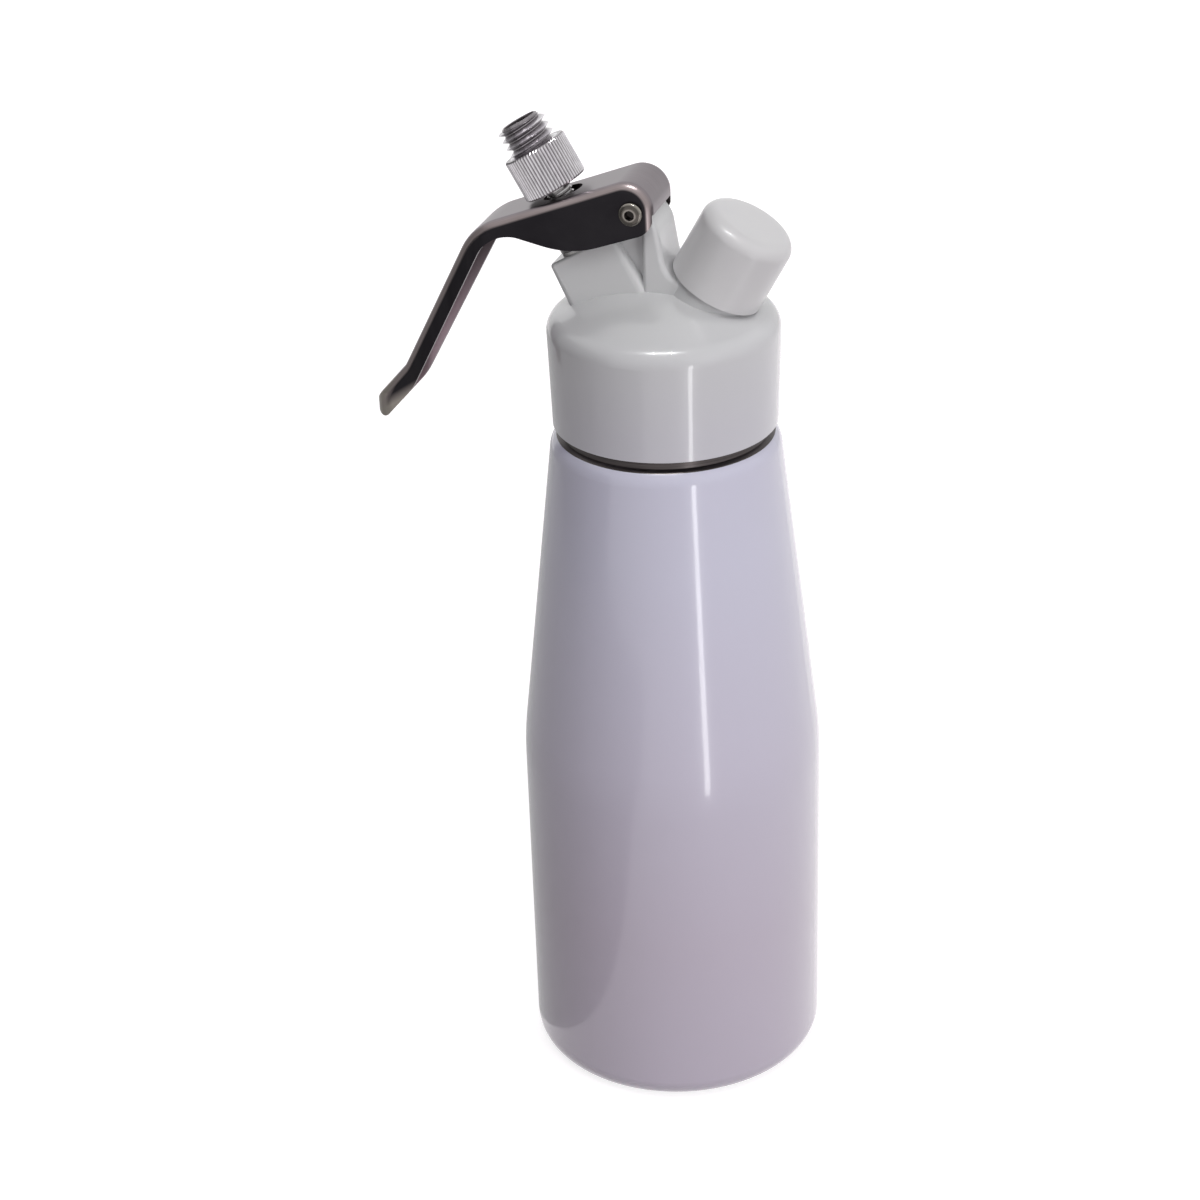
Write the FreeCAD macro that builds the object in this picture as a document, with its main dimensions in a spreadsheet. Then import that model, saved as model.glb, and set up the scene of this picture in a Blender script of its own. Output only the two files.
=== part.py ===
import FreeCAD, Part
import math
import os

import Sketcher

# Whipped cream dispenser, in millimetres. The origin is the centre of the bottle's foot, +Z is up,
# the lever and the nozzle lean towards -X and the charger port towards +X.
#
# Three frames are used. Stations of the valve are measured along its tilted axis from the point
# where that axis crosses the bottle's, stations of the charger port along the port's axis in the
# same way, and the lever is drawn from the centre of its pivot.

SIZES = {
    # bottle
    "body_radius": 40.4, "body_wall": 1.8, "foot_inset": 9.4, "foot_recess": 4, "foot_rounding": 6,
    "floor_thickness": 2.6, "cone_start": 97, "cone_blend": 90, "shoulder_height": 187.5,
    "shoulder_radius": 29.7, "shoulder_rounding": 5.5, "collar_radius": 27.4, "collar_rise": 1.5,
    "neck_wall": 3.45, "neck_rise": 16.3,
    # head casting
    "skirt_gap": 0.4, "skirt_radius": 29.3, "skirt_draft": 0.8, "skirt_height": 28.4,
    "skirt_edge_rounding": 5.2, "skirt_wall": 2.55, "thread_clearance": 0.1, "seal_thickness": 2.2,
    "crown_rise": 9.4, "crown_corner": 11.7, "crown_rounding": 48, "crown_wall": 4.2,
    "cavity_inset": 0.2, "cavity_drop": 6,
    # lever post
    "post_width": 15.8, "post_head": 3.65, "post_shoulder": 4.5, "post_neck_left": 3.1,
    "post_neck_right": 1.1, "post_foot_right": 3.1, "post_knee_rise": 3.8, "post_toe": 10.5,
    "post_edge": 1.3, "post_knee_rounding": 7, "web_width": 10, "web_reach": 9.5, "web_drop": 6,
    # pivot
    "pivot_x": 5, "pivot_rise": 20.3, "pivot_pin": 2, "pivot_clearance": 0.05, "pin_head": 3.1,
    "pin_head_height": 1.5, "screw_radius": 1.2, "screw_depth": 8, "drive_radius": 1.3,
    "drive_depth": 0.7, "washer_radius": 2.9,
    # lever
    "sheet": 1.3, "lever_half_width": 9.75, "handle_half_width": 6.2, "bend_radius": 2.3,
    "nose_reach": 5.3, "nose_rounding": 6.9, "nose_lip": 0.5, "plate_offset": 8.1, "plate_lean": 20,
    "handle_lean": 62, "handle_offset": 34.6, "handle_depth": 4.7, "elbow_rounding": 18,
    "flare_lean": 48, "flare_length": 9.44, "flare_rounding": 5, "tip_reach": 74.2,
    "tip_rounding": 9, "tip_trim": 2.87, "tip_lean": 62, "toe_depth": 5.57, "toe_rounding": 20,
    "throat_angle": 274, "throat_offset": 6.2, "throat_rounding": 10.5, "belly_angle": 256.6,
    "belly_offset": 15.4, "belly_rounding": 8, "ear_angle": 288.6, "ear_drop": 6.15,
    "ear_rounding": 26, "tip_corner": 2.5, "taper_start": 38.5, "taper_end": 62,
    "slot_centre": 19, "slot_length": 10.4, "slot_half_width": 4.8,
    # valve boss and dispensing valve
    "valve_rise": 12.2, "valve_lean": 29.5, "boss_foot": 16, "boss_top": 39.5,
    "boss_half_width": 11.4, "boss_half_depth": 9, "boss_draft": 4.5, "boss_corner": 3,
    "boss_edge": 0.9, "seat_station": 18.5, "seat_boss": 8, "flow_bore": 4.6, "flow_depth": 5.5,
    "ring_ledge": 26.5, "ring_ledge_bore": 3.3, "bush_bore": 5.5, "bush_start": 29,
    "bush_flange": 7.4, "bush_flange_height": 1.8, "bush_washer": 0.7, "stem_radius": 3,
    "stem_bore": 1.9, "stem_top": 61.3, "stem_disc": 6, "stem_disc_height": 2, "seat_gasket": 2.6,
    "seat_gasket_radius": 6.3, "side_hole": 1.1, "side_hole_height": 2.4, "ring_section": 1.1,
    "ring_radius": 4.2, "spring_radius": 4.6, "spring_wire": 0.45, "spring_turns": 3.5,
    "collar_station": 49.8, "collar_height": 1.5, "thrust_radius": 6.2, "thrust_flat": 4.4,
    "thrust_drop": 0.4, "clip_radius": 4, "clip_height": 0.8, "clip_bite": 0.4,
    # tip adapter
    "adapter_bottom": 55.7, "knurl_radius": 8.4, "knurl_length": 11.3, "knurl_chamfer": 0.4,
    "adapter_top": 74.6, "tip_thread_radius": 6.5, "tip_thread_depth": 1.2, "tip_thread_pitch": 2,
    "tip_thread_turns": 3, "outlet_bore": 4.4, "outlet_floor": 64.5, "adapter_seal": 0.9,
    "adapter_clearance": 0.1,
    # charger port
    "port_rise": 12.1, "port_lean": 29, "port_collar": 10.9, "port_collar_top": 28.6,
    "port_foot": 16, "port_root": 5, "port_thread": 9.7, "port_top": 44.4, "port_bore": 7,
    "port_floor": 3, "inlet_radius": 4.45, "inlet_flange": 6.5, "inlet_flange_height": 2.5,
    "inlet_bottom": 13.5, "inlet_nose": 3.4, "inlet_nose_height": 4.2, "inlet_washer": 0.5,
    "inlet_gasket": 1.3, "inlet_gasket_radius": 4.5, "inlet_channel": 1.2, "pin_radius": 0.9,
    "pin_depth": 5, "pin_rise": 3.2, "pin_point": 1.6, "sleeve_wall": 0.9,
    # port cap
    "cap_radius": 12.4, "cap_draft": 0.1, "cap_gap": 0.6, "cap_roof": 3, "cap_rounding": 3.7,
    "cap_clearance": 0.1, "cap_seal": 1.2, "cap_seal_width": 2.1, "cap_seal_inset": 0.2,
    "cap_seal_play": 0.2,
    # what small fits and cutting outlines share
    "fit": 0.05, "overrun": 5,
}

doc = FreeCAD.newDocument("cream_dispenser")


def text_of(item):
    return item.text if isinstance(item, Size) else repr(item)


def number(item):
    return item.value if isinstance(item, Size) else item


class Size:
    """A number and the spreadsheet expression that gives it, kept together through arithmetic."""

    def __init__(self, value, text):
        self.value = value
        self.text = text

    def __add__(self, other):
        return Size(self.value + number(other), "(%s + %s)" % (self.text, text_of(other)))

    def __sub__(self, other):
        return Size(self.value - number(other), "(%s - %s)" % (self.text, text_of(other)))

    def __mul__(self, other):
        return Size(self.value * number(other), "(%s * %s)" % (self.text, text_of(other)))

    def __truediv__(self, other):
        return Size(self.value / number(other), "(%s / %s)" % (self.text, text_of(other)))

    def __neg__(self):
        return Size(-self.value, "(0 - %s)" % self.text)

    def __rsub__(self, other):
        return Size(other - self.value, "(%s - %s)" % (other, self.text))

    __radd__ = __add__
    __rmul__ = __mul__


def sine(angle):
    return Size(math.sin(math.radians(number(angle))), "sin(%s)" % text_of(angle))


def cosine(angle):
    return Size(math.cos(math.radians(number(angle))), "cos(%s)" % text_of(angle))


class Sheet:
    """The spreadsheet of driving dimensions; each is read back as a Size of the same name."""

    def __init__(self, table):
        cells = doc.addObject("Spreadsheet::Sheet", "Sizes")
        for row, (name, value) in enumerate(table.items(), start=1):
            cells.set("A%d" % row, name)
            cells.set("B%d" % row, str(value))
            cells.setAlias("B%d" % row, name)
        doc.recompute()
        for name in table:
            setattr(self, name, Size(float(cells.get(name)), "Sizes." + name))


s = Sheet(SIZES)

# Heights stand on one another from the bottle's shoulder upwards.
collar_top = s.shoulder_height + s.collar_rise
neck_top = s.shoulder_height + s.neck_rise
seal_seat = neck_top + s.seal_thickness
skirt_bottom = collar_top + s.skirt_gap
skirt_edge_height = skirt_bottom + s.skirt_height
crown_height = skirt_edge_height + s.crown_rise
crown_roof = crown_height - s.crown_wall
post_knee = crown_height + s.post_knee_rise
pivot_height = crown_height + s.pivot_rise

VALVE = {"height": skirt_bottom + s.valve_rise, "lean": s.valve_lean, "side": 1}
PORT = {"height": skirt_bottom + s.port_rise, "lean": s.port_lean, "side": -1}
UPRIGHT = None

PAST = s.overrun        # how far a cutting outline runs past the face that it opens


# ---------------------------------------------------------------- drawing helpers

def bind(item, path, size):
    """Tie one property of an object to its expression."""
    if isinstance(size, Size):
        item.setExpression(path, size.text)


def plane_of(body, role):
    return next(plane for plane in body.Origin.OriginFeatures if plane.Role == role)


def new_body(label):
    body = doc.addObject("PartDesign::Body", label)
    body.Label = label
    return body


def tilt_body(body, frame):
    """Stand a body that is drawn along +Z on the tilted axis of a frame."""
    spin = FreeCAD.Vector(0, -frame["side"], 0)
    body.Placement = FreeCAD.Placement(FreeCAD.Vector(0, 0, frame["height"].value),
                                       FreeCAD.Rotation(spin, frame["lean"].value))
    bind(body, "Placement.Base.z", frame["height"])
    bind(body, "Placement.Rotation.Angle", frame["lean"])


def tilt_sketch(sketch, frame):
    """Turn an upright XZ sketch so that its vertical axis is the tilted axis of a frame."""
    spin = FreeCAD.Vector(0, 0, frame["side"])
    sketch.AttachmentOffset = FreeCAD.Placement(FreeCAD.Vector(0, frame["height"].value, 0),
                                                FreeCAD.Rotation(spin, frame["lean"].value))
    bind(sketch, "AttachmentOffset.Base.y", frame["height"])
    bind(sketch, "AttachmentOffset.Rotation.Angle", frame["lean"])


def new_sketch(body, name, role="XZ_Plane"):
    sketch = body.newObject("Sketcher::SketchObject", name)
    sketch.AttachmentSupport = (plane_of(body, role), [""])
    sketch.MapMode = "FlatFace"
    return sketch


def constrain(sketch, *terms, size=None):
    """Add a constraint; a size, where given, is its value and its expression."""
    if size is None:
        sketch.addConstraint(Sketcher.Constraint(*terms))
        return
    index = sketch.addConstraint(Sketcher.Constraint(*terms, number(size)))
    bind(sketch, "Constraints[%d]" % index, size)


def pin_point(sketch, geometry, end, corner):
    """Fix a point at its two coordinates; a coordinate of 0 puts it on the axis instead."""
    for coordinate, kind, axis in ((corner[0], "DistanceX", -2), (corner[1], "DistanceY", -1)):
        if isinstance(coordinate, Size):
            constrain(sketch, kind, -1, 1, geometry, end, size=coordinate)
        else:
            constrain(sketch, "PointOnObject", geometry, end, axis)


def corner_arc(before, corner, after, radius):
    """Tangent points, centre and sense of the arc that rounds a corner."""
    inward = (before - corner).normalize()
    outward = (after - corner).normalize()
    half = inward.getAngle(outward) / 2
    start = corner + inward * (radius / math.tan(half))
    finish = corner + outward * (radius / math.tan(half))
    centre = corner + (inward + outward).normalize() * (radius / math.sin(half))
    turns_left = inward.cross(outward).z < 0
    return start, finish, centre, turns_left


def draw_outline(sketch, corners):
    """Draw a closed outline of straight runs, with an arc at each corner that has a radius."""
    count = len(corners)
    spots = [FreeCAD.Vector(number(c[0]), number(c[1]), 0) for c in corners]
    starts, finishes, arcs = list(spots), list(spots), {}
    for i, corner in enumerate(corners):
        if len(corner) == 3:
            found = corner_arc(spots[i - 1], spots[i], spots[(i + 1) % count], number(corner[2]))
            starts[i], finishes[i] = found[0], found[1]
            arcs[i] = found
    lines = [sketch.addGeometry(Part.LineSegment(finishes[i], starts[(i + 1) % count]))
             for i in range(count)]
    for i, corner in enumerate(corners):
        came, leaves = lines[i - 1], lines[i]
        if i not in arcs:
            constrain(sketch, "Coincident", came, 2, leaves, 1)
            pin_point(sketch, leaves, 1, corner)
            continue
        start, finish, centre, turns_left = arcs[i]
        first, last = (start, finish) if turns_left else (finish, start)
        circle = Part.Circle(centre, FreeCAD.Vector(0, 0, 1), number(corner[2]))
        arc = sketch.addGeometry(Part.ArcOfCircle(circle, circle.parameter(first), circle.parameter(last)))
        mark = sketch.addGeometry(Part.Point(spots[i]), True)
        pin_point(sketch, mark, 1, corner)
        constrain(sketch, "PointOnObject", mark, 1, came)
        constrain(sketch, "PointOnObject", mark, 1, leaves)
        constrain(sketch, "Tangent", came, 2, arc, 1 if turns_left else 2)
        constrain(sketch, "Tangent", leaves, 1, arc, 2 if turns_left else 1)
        constrain(sketch, "Radius", arc, size=corner[2])


def draw_circle(sketch, x, y, radius):
    centre = FreeCAD.Vector(number(x), number(y), 0)
    circle = sketch.addGeometry(Part.Circle(centre, FreeCAD.Vector(0, 0, 1), number(radius)))
    pin_point(sketch, circle, 3, (x, y))
    constrain(sketch, "Radius", circle, size=radius)


def outline_sketch(body, name, corners, frame=UPRIGHT, role="XZ_Plane"):
    sketch = new_sketch(body, name, role)
    if frame:
        tilt_sketch(sketch, frame)
    draw_outline(sketch, corners)
    return sketch


def turn(body, name, corners, frame=UPRIGHT, kind="Revolution"):
    """Revolve an outline about its sketch's vertical axis: a Revolution adds, a Groove cuts."""
    sketch = outline_sketch(body, name + "_outline", corners, frame)
    feature = body.newObject("PartDesign::" + kind, name)
    feature.Profile = sketch
    feature.ReferenceAxis = (sketch, ["V_Axis"])
    feature.Angle = 360
    return feature


def cut_turn(body, name, corners, frame=UPRIGHT):
    """Groove, with a check that it removes material."""
    doc.recompute()
    before = body.Shape.Volume
    feature = turn(body, name, corners, frame, "Groove")
    doc.recompute()
    assert body.Shape.Volume < before, name + " removes nothing"
    return feature


def extrude(body, name, sketch, length, kind="Pad"):
    """Extrude a sketch equally to both sides: a Pad adds, a Pocket cuts."""
    feature = body.newObject("PartDesign::" + kind, name)
    feature.Profile = sketch
    feature.SideType = "Symmetric"
    feature.Length = number(length)
    bind(feature, "Length", length)
    return feature


def cut_through(body, name, sketch, length):
    doc.recompute()
    before = body.Shape.Volume
    feature = extrude(body, name, sketch, length, "Pocket")
    doc.recompute()
    assert body.Shape.Volume < before, name + " removes nothing"
    return feature


def round_edges(body, name, wanted, radius, kind="Fillet"):
    """Round, or chamfer, the edges of the body's last feature that a test picks."""
    doc.recompute()
    base = body.Tip
    chosen = ["Edge%d" % (i + 1) for i, edge in enumerate(base.Shape.Edges) if wanted(edge)]
    feature = body.newObject("PartDesign::" + kind, name)
    feature.Base = (base, chosen)
    path = "Radius" if kind == "Fillet" else "Size"
    setattr(feature, path, number(radius))
    bind(feature, path, radius)
    return feature


def middle(edge):
    return edge.valueAt((edge.FirstParameter + edge.LastParameter) / 2)


def turned_part(label, corners, frame=UPRIGHT):
    """A piece that is one revolved outline, standing on a frame's axis."""
    body = new_body(label)
    turn(body, label + "_form", corners)
    if frame:
        tilt_body(body, frame)
    return body


def ring(inner, outer, low, high):
    """Outline of a flat ring or a tube, for turning."""
    return [(inner, low), (outer, low), (outer, high), (inner, high)]


def crossing(first, second):
    """Corner where two lines meet, each given by the angle of its normal and its distance."""
    (angle_a, reach_a), (angle_b, reach_b) = first, second
    span = sine(angle_b - angle_a)
    return ((reach_a * sine(angle_b) - reach_b * sine(angle_a)) / span,
            (reach_b * cosine(angle_a) - reach_a * cosine(angle_b)) / span)


# ---------------------------------------------------------------- bottle and its seal

foot_radius = s.body_radius - s.foot_inset
skirt_bore = s.skirt_radius - s.skirt_wall
neck_radius = skirt_bore - s.thread_clearance
neck_bore = neck_radius - s.neck_wall
cavity_radius = neck_bore - s.cavity_inset


def bottle():
    """Drawn aluminium bottle: body, cone, shoulder, bare collar and threaded neck, one wall all over."""
    body = new_body("bottle")
    turn(body, "bottle_form", [
        (0, s.foot_recess),
        (foot_radius - 2 * s.foot_recess, s.foot_recess, 3 * s.foot_recess),
        (foot_radius, 0, s.foot_recess / 4),
        (s.body_radius, 0, s.foot_rounding),
        (s.body_radius, s.cone_start, s.cone_blend),
        (s.shoulder_radius, s.shoulder_height, s.shoulder_rounding),
        (0, s.shoulder_height),
    ])
    turn(body, "bottle_neck", [
        (0, s.shoulder_height - s.shoulder_rounding),
        (s.collar_radius, s.shoulder_height - s.shoulder_rounding),
        (s.collar_radius, collar_top),
        (neck_radius, collar_top),
        (neck_radius, neck_top),
        (0, neck_top),
    ])
    floor = s.foot_recess + s.floor_thickness
    inside = s.body_radius - s.body_wall
    cut_turn(body, "bottle_hollow", [
        (0, floor),
        (inside, floor, s.foot_rounding),
        (inside, s.cone_start, s.cone_blend - s.body_wall),
        (s.shoulder_radius - s.body_wall, s.shoulder_height - s.shoulder_rounding, s.shoulder_rounding),
        (neck_bore, s.shoulder_height - s.body_wall),
        (neck_bore, neck_top + PAST),
        (0, neck_top + PAST),
    ])


def head_gasket():
    turned_part("head_gasket", ring(neck_bore + s.fit, neck_radius - s.fit, neck_top, seal_seat))


# ---------------------------------------------------------------- head casting

port_floor_top = s.port_collar_top - s.port_root + s.port_floor


def post_outline():
    """Side of the lever post: a round head about the pivot on a neck that flares into the port."""
    head_left = -s.pivot_x - s.post_head
    head_right = s.post_head - s.pivot_x
    head_top = pivot_height + s.post_head
    head_rounding = s.post_head * 0.9
    return [
        (-s.post_neck_left, crown_roof),
        (s.post_toe, crown_roof),
        (s.post_toe, post_knee - s.post_knee_rounding / 2, 2 * s.post_edge),
        (s.post_foot_right, post_knee, s.post_knee_rounding),
        (s.post_neck_right, pivot_height - s.post_shoulder, 2 * s.post_head),
        (head_right, pivot_height - s.post_head / 4, s.post_head),
        (head_right, head_top, head_rounding),
        (head_left, head_top, head_rounding),
        (head_left, pivot_height - s.post_head, head_rounding * 0.6),
        (-s.post_neck_left, pivot_height - s.post_head, 2 * s.post_edge),
    ]


def add_web(body):
    """Web between the post and the valve boss, set back from the post's sides."""
    web_top = pivot_height - s.web_drop
    extrude(body, "web", outline_sketch(body, "web_outline", [
        (0, crown_roof),
        (0, web_top),
        (-s.web_reach, web_top),
        (-s.web_reach, crown_roof),
    ]), s.web_width)


def add_post(body):
    extrude(body, "post", outline_sketch(body, "post_outline", post_outline()), s.post_width)
    half = number(s.post_width) / 2
    root = number(crown_roof)

    def long_edge(edge):
        spot = middle(edge)
        return abs(abs(spot.y) - half) < 1e-4 and spot.z > root + 1e-4

    round_edges(body, "post_rounding", long_edge, s.post_edge)


def add_boss(body):
    """Tapered block round the valve, square to the valve's axis."""
    sketch = new_sketch(body, "boss_outline", "XY_Plane")
    lean, foot = s.valve_lean, s.boss_foot
    sketch.AttachmentOffset = FreeCAD.Placement(
        FreeCAD.Vector(number(-sine(lean) * foot), 0, number(VALVE["height"] + cosine(lean) * foot)),
        FreeCAD.Rotation(FreeCAD.Vector(0, -1, 0), lean.value))
    bind(sketch, "AttachmentOffset.Base.x", -sine(lean) * foot)
    bind(sketch, "AttachmentOffset.Base.z", VALVE["height"] + cosine(lean) * foot)
    bind(sketch, "AttachmentOffset.Rotation.Angle", lean)
    wide, deep, corner = s.boss_half_width, s.boss_half_depth, s.boss_corner
    draw_outline(sketch, [(-wide, -deep, corner), (wide, -deep, corner),
                          (wide, deep, corner), (-wide, deep, corner)])
    pad = body.newObject("PartDesign::Pad", "boss")
    pad.Profile = sketch
    pad.Length = number(s.boss_top - foot)
    bind(pad, "Length", s.boss_top - foot)
    pad.TaperAngle = -s.boss_draft.value
    bind(pad, "TaperAngle", -s.boss_draft)
    axis = FreeCAD.Vector(-math.sin(math.radians(lean.value)), 0, math.cos(math.radians(lean.value)))
    origin = FreeCAD.Vector(0, 0, VALVE["height"].value)

    def top_edge(edge):
        ends = [(vertex.Point - origin).dot(axis) for vertex in edge.Vertexes]
        return min(ends) > s.boss_top.value - 1e-4

    round_edges(body, "boss_edge", top_edge, s.boss_edge)


def head_body():
    """Head casting: crown and skirt, lever post, valve boss and charger collar, bored for the valves."""
    body = new_body("head_body")
    add_post(body)
    add_boss(body)
    add_web(body)
    turn(body, "crown", [
        (0, skirt_bottom),
        (s.skirt_radius, skirt_bottom),
        (s.skirt_radius + s.skirt_draft, skirt_edge_height, s.skirt_edge_rounding),
        (s.crown_corner, crown_height, s.crown_rounding),
        (0, crown_height),
    ])
    turn(body, "port_collar", [
        (0, s.port_foot),
        (s.port_collar, s.port_foot),
        (s.port_collar, s.port_collar_top),
        (0, s.port_collar_top),
    ], PORT)
    cut_turn(body, "cavity", [
        (0, skirt_bottom - PAST),
        (skirt_bore, skirt_bottom - PAST),
        (skirt_bore, seal_seat),
        (cavity_radius, seal_seat),
        (cavity_radius, crown_roof - s.cavity_drop, s.skirt_edge_rounding / 2),
        (s.crown_corner, crown_roof),
        (0, crown_roof),
    ])
    turn(body, "seat_boss", ring(s.flow_bore, s.seat_boss, s.seat_station, s.ring_ledge), VALVE)
    turn(body, "port_tube", ring(s.port_bore, s.port_thread, s.port_collar_top, s.port_top), PORT)
    cut_turn(body, "valve_bore", [
        (0, s.boss_foot - PAST),
        (s.flow_bore, s.boss_foot - PAST),
        (s.flow_bore, s.seat_station + s.flow_depth),
        (s.ring_ledge_bore, s.seat_station + s.flow_depth),
        (s.ring_ledge_bore, s.ring_ledge),
        (s.bush_bore, s.ring_ledge),
        (s.bush_bore, s.boss_top + PAST),
        (0, s.boss_top + PAST),
    ], VALVE)
    cut_turn(body, "port_bore", [
        (0, s.port_foot),
        (s.inlet_radius + s.fit, s.port_foot),
        (s.inlet_radius + s.fit, port_floor_top),
        (s.port_bore, port_floor_top),
        (s.port_bore, s.port_top + PAST),
        (0, s.port_top + PAST),
    ], PORT)
    bore = new_sketch(body, "pivot_bore_outline")
    draw_circle(bore, -s.pivot_x, pivot_height, s.pivot_pin + s.pivot_clearance)
    cut_through(body, "pivot_bore", bore, s.post_width + 2 * PAST)


# ---------------------------------------------------------------- dispensing valve

gasket_bottom = s.seat_station - s.seat_gasket
disc_bottom = gasket_bottom - s.stem_disc_height
flange_bottom = s.boss_top + s.bush_washer
flange_top = flange_bottom + s.bush_flange_height
collar_face = s.collar_station + s.collar_height
clip_groove = s.stem_radius - s.clip_bite


def valve_stem():
    """Hollow stem, closed below its side holes, with the sealing disc at its inner end."""
    body = new_body("valve_stem")
    turn(body, "stem_form", [
        (0, disc_bottom),
        (s.stem_disc, disc_bottom),
        (s.stem_disc, gasket_bottom),
        (s.stem_radius, gasket_bottom),
        (s.stem_radius, collar_face),
        (clip_groove, collar_face),
        (clip_groove, collar_face + s.clip_height),
        (s.stem_radius, collar_face + s.clip_height),
        (s.stem_radius, s.stem_top),
        (s.stem_bore, s.stem_top),
        (s.stem_bore, s.seat_station),
        (0, s.seat_station),
    ])
    hole = new_sketch(body, "side_hole_outline")
    draw_circle(hole, 0, s.seat_station + s.side_hole_height, s.side_hole)
    cut_through(body, "side_hole", hole, 2 * s.stem_disc)
    tilt_body(body, VALVE)


def valve_small_parts():
    turned_part("seat_gasket", ring(s.stem_radius + s.fit, s.seat_gasket_radius, gasket_bottom,
                                    s.seat_station), VALVE)
    turned_part("bush_washer", ring(s.bush_bore + s.fit, s.bush_flange - s.fit, s.boss_top,
                                    flange_bottom), VALVE)
    turned_part("guide_bush", [
        (s.stem_radius + s.fit, s.bush_start),
        (s.bush_bore - s.fit, s.bush_start),
        (s.bush_bore - s.fit, flange_bottom),
        (s.bush_flange, flange_bottom),
        (s.bush_flange, flange_top),
        (s.stem_radius + s.fit, flange_top),
    ], VALVE)
    turned_part("thrust_collar", [
        (s.stem_radius + s.fit, s.collar_station),
        (s.thrust_radius, s.collar_station),
        (s.thrust_radius, collar_face - s.thrust_drop),
        (s.thrust_flat, collar_face),
        (s.stem_radius + s.fit, collar_face),
    ], VALVE)
    turned_part("retaining_clip", ring(clip_groove, s.clip_radius, collar_face,
                                       collar_face + s.clip_height), VALVE)
    turned_part("adapter_seal", ring(s.stem_bore + s.fit, s.stem_radius, s.stem_top,
                                     s.stem_top + s.adapter_seal), VALVE)


def stem_o_ring():
    body = new_body("stem_o_ring")
    sketch = new_sketch(body, "stem_o_ring_section")
    draw_circle(sketch, s.ring_radius, s.ring_ledge + s.ring_section + s.fit, s.ring_section)
    feature = body.newObject("PartDesign::Revolution", "stem_o_ring_form")
    feature.Profile = sketch
    feature.ReferenceAxis = (sketch, ["V_Axis"])
    feature.Angle = 360
    tilt_body(body, VALVE)


def valve_spring():
    """Round wire wound on a helix, between the bush's flange and the thrust collar."""
    wire = number(s.spring_wire)
    radius = number(s.spring_radius)
    low = number(flange_top) + wire + s.fit.value
    rise = number(s.collar_station) - wire - s.fit.value - low
    helix = Part.makeHelix(rise / s.spring_turns.value, rise, radius)
    tangent = FreeCAD.Vector(0, 2 * math.pi * radius * s.spring_turns.value, rise)
    section = Part.Wire(Part.makeCircle(wire, FreeCAD.Vector(radius, 0, 0), tangent))
    coil = Part.Wire(helix.Edges).makePipeShell([section], True, True)
    spring = doc.addObject("Part::Feature", "valve_spring")
    spring.Label = "valve_spring"
    spring.Shape = coil
    lean = FreeCAD.Rotation(FreeCAD.Vector(0, -1, 0), s.valve_lean.value)
    base = FreeCAD.Vector(0, 0, VALVE["height"].value) + lean.multVec(FreeCAD.Vector(0, 0, low))
    spring.Placement = FreeCAD.Placement(base, lean)


def tip_adapter():
    """Knurled adapter that screws onto the stem, with an outside thread for the decorating tips."""
    body = new_body("tip_adapter")
    root = s.tip_thread_radius - s.tip_thread_depth
    half = s.tip_thread_pitch / 2
    socket = s.stem_radius + s.adapter_clearance
    knurl_top = s.adapter_bottom + s.knurl_length
    thread = [(root, knurl_top)]
    for turn_number in range(int(s.tip_thread_turns.value)):
        foot = s.adapter_top - (turn_number + 1) * s.tip_thread_pitch
        thread[1:1] = [(root, foot), (s.tip_thread_radius, foot + half)]
    turn(body, "adapter_form", [
        (socket, s.adapter_bottom),
        (s.knurl_radius - s.knurl_chamfer, s.adapter_bottom),
        (s.knurl_radius, s.adapter_bottom + s.knurl_chamfer),
        (s.knurl_radius, knurl_top - s.knurl_chamfer),
        (s.knurl_radius - s.knurl_chamfer, knurl_top),
        *thread,
        (root, s.adapter_top),
        (s.outlet_bore, s.adapter_top),
        (s.outlet_bore, s.outlet_floor),
        (s.stem_bore, s.outlet_floor),
        (s.stem_bore, s.stem_top + s.adapter_seal),
        (socket, s.stem_top + s.adapter_seal),
    ])
    tilt_body(body, VALVE)


# ---------------------------------------------------------------- lever and its pivot

NONE = Size(0, "0")
STRAIGHT = Size(180, "180")
SIDES = ((1, "far"), (-1, "near"))


def height_on(line, x):
    """Height of a line, given by its normal's angle and its distance, where it passes x."""
    angle, reach = line
    return (reach - x * cosine(angle)) / sine(angle)


def reach_of(angle, x, z):
    """Distance from the pivot of the line through a point, given its normal's angle."""
    return x * cosine(angle) + z * sine(angle)


flare_start = s.flare_length - s.tip_reach
flare_reach = reach_of(s.flare_lean + 90, flare_start,
                       height_on((s.handle_lean + 90, s.handle_offset), flare_start))
tip_height = height_on((s.flare_lean + 90, flare_reach), -s.tip_reach)
tip_cut = reach_of(s.tip_lean + 180, -s.tip_reach, tip_height) + s.tip_trim
lever_floor = tip_height - s.handle_offset


def lever_lines(inset):
    """Lines of the lever's top side, moved inwards by an inset: normal angle and distance."""
    return {
        "nose": (NONE, s.nose_reach - inset),
        "plate": (s.plate_lean + 90, s.plate_offset - inset),
        "handle": (s.handle_lean + 90, s.handle_offset - inset),
        "flare": (s.flare_lean + 90, flare_reach - inset),
        "tip": (STRAIGHT, s.tip_reach - inset),
    }


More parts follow.
